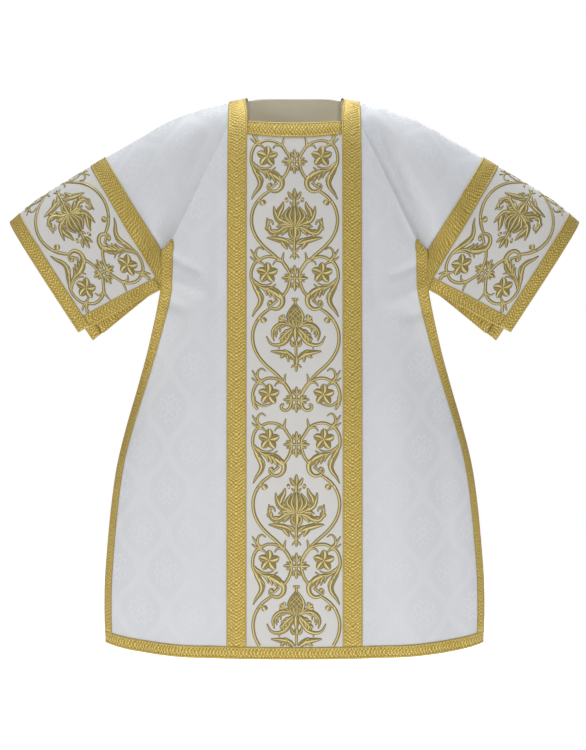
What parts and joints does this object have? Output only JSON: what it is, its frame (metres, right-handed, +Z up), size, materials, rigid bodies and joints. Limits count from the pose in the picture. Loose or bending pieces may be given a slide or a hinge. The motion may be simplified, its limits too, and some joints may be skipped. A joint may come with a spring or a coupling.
{
  "type": "dalmatic",
  "caption": "Hollow white damask dalmatic, filled out as worn, with open sides and sleeves, embroidered ivory orphreys, gold galloons and a square neck",
  "frame": {"origin": "middle of the neck, on the line of the shoulder seams, where the wearer's shoulders carry the garment", "axes": "+Z up, front of the garment toward -Y, sleeves out along +X and -X; left and right node names are as seen from the front"},
  "size_m": [1.17, 0.3008, 1.1388],
  "materials": {
    "white_damask": "white jacquard damask with a soft sheen",
    "ivory_orphrey": "ivory cloth with raised gold embroidery",
    "gold_galloon": "woven metallic gold braid",
    "neck_lining": "plain lining, softly matt"
  },
  "bodies": {
    "root": {"front_panel": "white_damask", "back_panel": "white_damask", "sleeve_left": "white_damask", "sleeve_right": "white_damask", "orphrey_front": "ivory_orphrey", "orphrey_back": "ivory_orphrey", "cuff_orphrey_left": "ivory_orphrey", "cuff_orphrey_right": "ivory_orphrey", "clavus_left": "gold_galloon", "clavus_right": "gold_galloon", "neck_galloon_front": "gold_galloon", "neck_galloon_back": "gold_galloon", "hem_galloon_front": "gold_galloon", "hem_galloon_back": "gold_galloon", "side_galloon_front_left": "gold_galloon", "side_galloon_front_right": "gold_galloon", "side_galloon_back_left": "gold_galloon", "side_galloon_back_right": "gold_galloon", "sleeve_band_left": "gold_galloon", "sleeve_band_right": "gold_galloon", "cuff_galloon_left": "gold_galloon", "cuff_galloon_right": "gold_galloon", "underarm_galloon_front_left": "gold_galloon", "underarm_galloon_front_right": "gold_galloon", "underarm_galloon_back_left": "gold_galloon", "underarm_galloon_back_right": "gold_galloon", "neck_facing_back": "neck_lining"}
  },
  "joints": []
}
